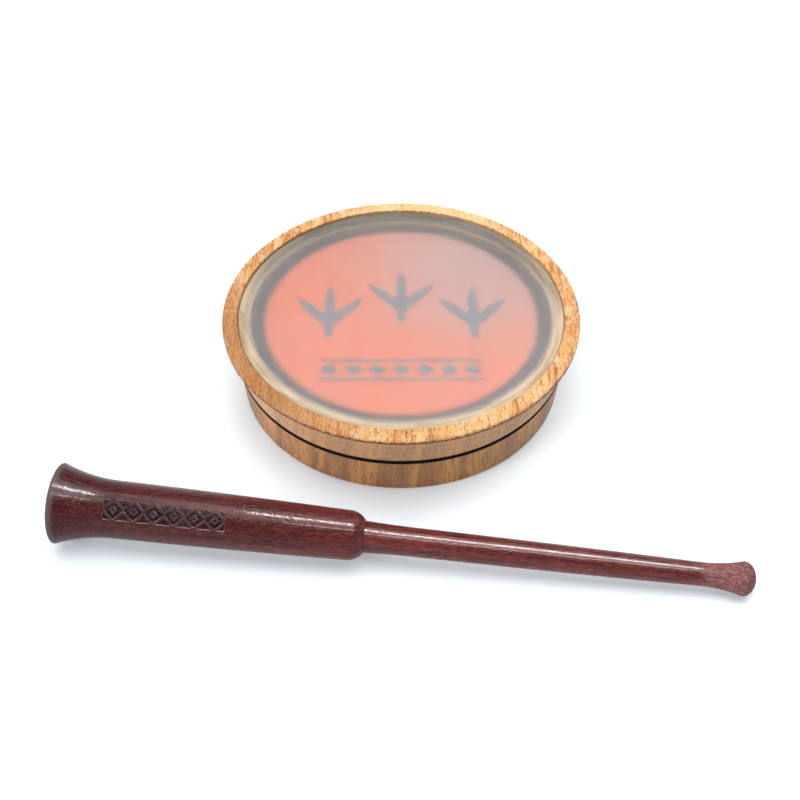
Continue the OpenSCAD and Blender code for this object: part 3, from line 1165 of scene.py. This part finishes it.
def make_striker(tree, material):
    """The handle and the peg, laid down in front of the pot."""
    place = laid_down()
    handle = outline_piece("turned_handle", handle_outline())
    grown(handle, handle_tree(), {"Material": material}, place)
    settle(handle, "striker", "striker_wood", "striker_handle")
    peg = outline_piece("turned_peg", peg_outline())
    grown(peg, tree, {"Columns": PEG_COLUMNS, "Material": material}, place)
    settle(peg, "striker", "striker_wood", "striker_peg")


def make_print(ink):
    """The tracks and the bar on the label, a hair above it."""
    height = (LABEL_TOP + INK_LIFT) * MM
    tracks = flat_piece("printed_tracks", [toe_loop()])
    grown(tracks, track_tree(), {"Height": height, "Centre Y": TRACK_Y * MM, "Material": ink})
    settle(tracks, "pot_call", "label_print")
    bar = flat_piece("printed_bar", bar_loops())
    grown(bar, bar_tree(), {"Height": height, "Centre Y": BAR_Y * MM, "Material": ink})
    settle(bar, "pot_call", "label_print")


def dress_nodes(materials):
    """Gives the CAD nodes that stay in view their finishes."""
    for node, material in materials.items():
        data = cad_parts[node].data
        data.materials.clear()
        data.materials.append(material)


# Stage

WHITE = (1.0, 1.0, 1.0)
COOL = (0.96, 0.98, 1.0)
FLOOR_PAINT = (0.84, 0.90, 0.95, 1.0)
FLOOR_GLOW = (0.88, 0.96, 1.0, 1.0)
SKY_LIGHT = (0.93, 0.96, 1.0, 1.0)
FLOOR_HALF = 2500.0
FLOOR_Z = -0.02
NEAR_FLOOR = 250.0  # the floor lit by the lamps reaches this far out
FAR_FLOOR = 900.0
CAMERA_SENSOR = 36.0
CAMERA_LENS = 56.105
CAMERA_PLACE = (-0.000312, -0.2520, 0.2451)
CAMERA_TILT = math.radians(44.4524)


def seen_directly(tree):
    """1 where the eye, a glossy surface or glass looks at the backdrop, and 0 where it only gives light."""
    bent = calc("MAXIMUM", ray_is(tree, "Glossy"), ray_is(tree, "Transmission"))
    return calc("MAXIMUM", ray_is(tree, "Camera"), bent)


def white_floor(tree):
    """A white sweep, pure white to the eye but for the object's shadow."""
    paint = add("ShaderNodeBsdfPrincipled", {
        "Base Color": FLOOR_PAINT, "Roughness": 0.9, "Specular IOR Level": 0.1}, tree=tree)
    # Far off, where the lamps no longer reach, it glows white by itself
    far = distance_from(in_millimetres(tree))
    tint = stained(FLOOR_GLOW, (*WHITE, 1.0), far, NEAR_FLOOR, FAR_FLOOR)
    strength = seen_directly(tree) * fade(far, NEAR_FLOOR, FAR_FLOOR, 0.24, 1.0)
    return add("ShaderNodeAddShader", {0: paint, 1: add("ShaderNodeEmission", {0: tint, 1: strength})})


def make_floor():
    """The floor, just under the pot and the striker."""
    half = FLOOR_HALF * MM
    low = FLOOR_Z * MM
    corners = [(-half, -half, low), (half, -half, low), (half, half, low), (-half, half, low)]
    floor = new_piece("floor", corners, [], [(0, 1, 2, 3)])
    floor.data.materials.append(new_material("white_floor", white_floor))


def softbox(name, place, size, power, tint=WHITE, mirrored=True, lights=True):
    """A rectangular studio lamp that faces the object.

    One that isn't mirrored never shows in lacquer, and one that doesn't light only shows there.
    """
    data = bpy.data.lights.new(name, "AREA")
    data.shape = "RECTANGLE"
    data.size = size[0]
    data.size_y = size[1]
    data.energy = power
    data.color = tint
    lamp = bpy.data.objects.new(name, data)
    lamp.visible_glossy = mirrored
    lamp.visible_diffuse = lights
    bpy.context.scene.collection.objects.link(lamp)
    # Its own X stays as near to the frame's X as it can
    outwards = Vector(place).normalized()
    back = outwards.cross(Vector((1.0, 0.0, 0.0))).normalized()
    turn = Matrix((back.cross(outwards), back, outwards)).transposed().to_4x4()
    lamp.matrix_world = Matrix.Translation(place) @ turn


def light_only(lamps, pieces):
    """Keeps these lamps' light to these pieces."""
    lit = bpy.data.collections.new("lacquered")
    for piece in pieces:
        lit.objects.link(bpy.data.objects[piece])
    for lamp in lamps:
        bpy.data.objects[lamp].light_linking.receiver_collection = lit


def make_lamps():
    """A broad softbox overhead, three cool fills around, and two thin strips that only lacquer shows."""
    softbox("overhead", place=(0.12, 0.05, 0.95), size=(0.80, 0.90), power=8.2)
    softbox("strip", place=(0.127, 0.045, 0.60), size=(0.426, 0.09), power=8.8, lights=False)
    softbox("low_strip", place=(0.16, -0.22, 0.60), size=(0.50, 0.05), power=1.8, lights=False)
    softbox("left_over", place=(-0.45, 0.12, 0.85), size=(0.80, 0.40), power=1.8, tint=COOL,
            mirrored=False)
    softbox("left_front", place=(-0.70, -0.50, 0.35), size=(0.40, 0.40), power=4.4, tint=COOL)
    softbox("behind_right", place=(0.60, 0.60, 0.50), size=(0.50, 0.40), power=2.0, tint=COOL)


def make_world():
    """A dim cool room, brighter behind and low down, that the eye sees as pure white."""
    world = bpy.data.worlds.new("studio")
    world.use_nodes = True
    tree = world.node_tree
    tree.nodes.clear()
    towards = add("ShaderNodeTexCoord", {}, "Generated", tree)
    up = part(towards, "Z")
    strength = fade(part(towards, "Y"), -0.1, 0.1, 0.12, 0.22) + fade(up, 0.20, 0.04, 0.0, 0.5)
    room = add("ShaderNodeBackground", {0: SKY_LIGHT, 1: strength})
    white = add("ShaderNodeBackground", {0: (*WHITE, 1.0), 1: 1.0}, tree=tree)
    # Lacquer and glass show the white backdrop some 20 degrees up, and the dim room above it
    backdrop = seen_directly(tree) * fade(up, 0.45, 0.30)
    shown = calc("MAXIMUM", ray_is(tree, "Camera"), backdrop)
    mix = add("ShaderNodeMixShader", {0: shown, 1: room, 2: white})
    lead_to(tree.nodes.new("ShaderNodeOutputWorld"), mix)
    bpy.context.scene.world = world


def make_camera():
    """The camera, where it stood for the photograph."""
    data = bpy.data.cameras.new("camera")
    data.sensor_width = CAMERA_SENSOR
    data.lens = CAMERA_LENS
    camera = bpy.data.objects.new("camera", data)
    bpy.context.scene.collection.objects.link(camera)
    camera.location = CAMERA_PLACE
    camera.rotation_euler = (CAMERA_TILT, 0.0, 0.0)
    bpy.context.scene.camera = camera


make_camera()
make_lamps()
make_world()
make_floor()
bpy.context.scene.view_settings.view_transform = "Standard"

LATHE = lathe_tree()
GLUE = new_material("adhesive", adhesive)
PRINT = new_material("label_print", label_print)
make_pot(new_material("pot_wood", pot_wood))
FROSTED = new_material("frosted_glass", frosted_glass)
make_discs(LATHE, FROSTED, GLUE, new_material("clear_glass", clear_glass))
make_striker(LATHE, new_material("striker_wood", striker_wood))
light_only(["strip", "low_strip"], ["turned_handle", "turned_peg"])
make_print(new_material("label_ink", label_ink))
dress_nodes({"sound_board_label": PRINT, "pedestal_adhesive": GLUE})
